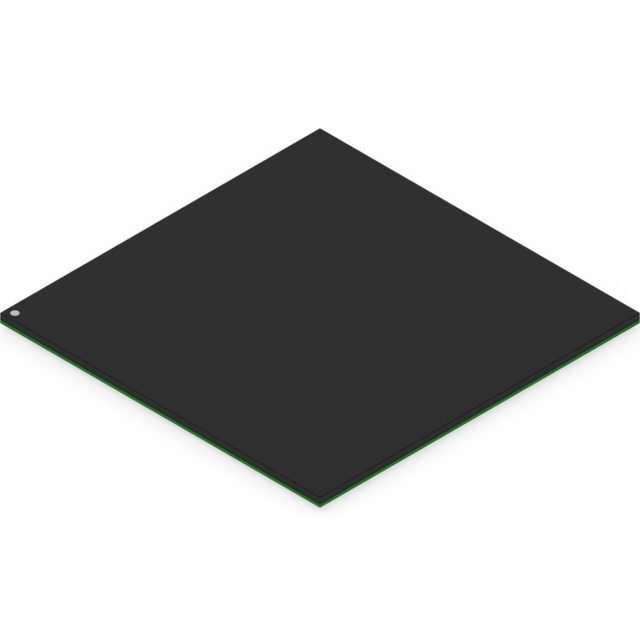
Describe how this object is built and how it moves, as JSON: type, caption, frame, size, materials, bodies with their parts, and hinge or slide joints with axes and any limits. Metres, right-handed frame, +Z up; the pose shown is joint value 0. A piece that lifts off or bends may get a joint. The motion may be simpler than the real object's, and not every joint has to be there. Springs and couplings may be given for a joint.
{
  "type": "ball grid array chip",
  "caption": "Thin square ball grid array chip: black moulded top, green laminate base, full grid of solder balls underneath and a pin 1 dot in one corner.",
  "frame": {"origin": "middle of the seating plane that the solder balls stand on", "axes": "+Z up, out of the moulded top; +X along the rows of balls, from column 1 to the last; +Y towards row A, so ball A1 and the dot are at the corner towards -X and +Y"},
  "size_m": [0.027, 0.027, 0.0012],
  "materials": {
    "moulding": "matt black moulding compound",
    "ink": "flat silver grey ink",
    "silicon": "polished silicon",
    "film": "cream adhesive film",
    "gold": "bright gold",
    "solder_mask": "satin green solder mask",
    "laminate": "sawn glass laminate, green",
    "copper": "satin copper",
    "solder": "bright reflowed solder"
  },
  "bodies": {
    "root": {"mold_cap": "moulding", "pin_1_dot": "ink", "die": "silicon", "die_attach_film": "film", "bond_wires": "gold", "bond_fingers": "gold", "top_solder_mask": "solder_mask", "laminate": "laminate", "ball_lands": "copper", "bottom_solder_mask": "solder_mask", "corner_mark": "gold", "balls_row_a": "solder", "balls_row_b": "solder", "balls_row_c": "solder", "balls_row_d": "solder", "balls_row_e": "solder", "balls_row_f": "solder", "balls_row_g": "solder", "balls_row_h": "solder", "balls_row_j": "solder", "balls_row_k": "solder", "balls_row_l": "solder", "balls_row_m": "solder", "balls_row_n": "solder", "balls_row_p": "solder", "balls_row_r": "solder", "balls_row_t": "solder", "balls_row_u": "solder", "balls_row_v": "solder", "balls_row_w": "solder", "balls_row_y": "solder", "balls_row_aa": "solder", "balls_row_ab": "solder", "balls_row_ac": "solder", "balls_row_ad": "solder", "balls_row_ae": "solder", "balls_row_af": "solder"}
  },
  "joints": []
}
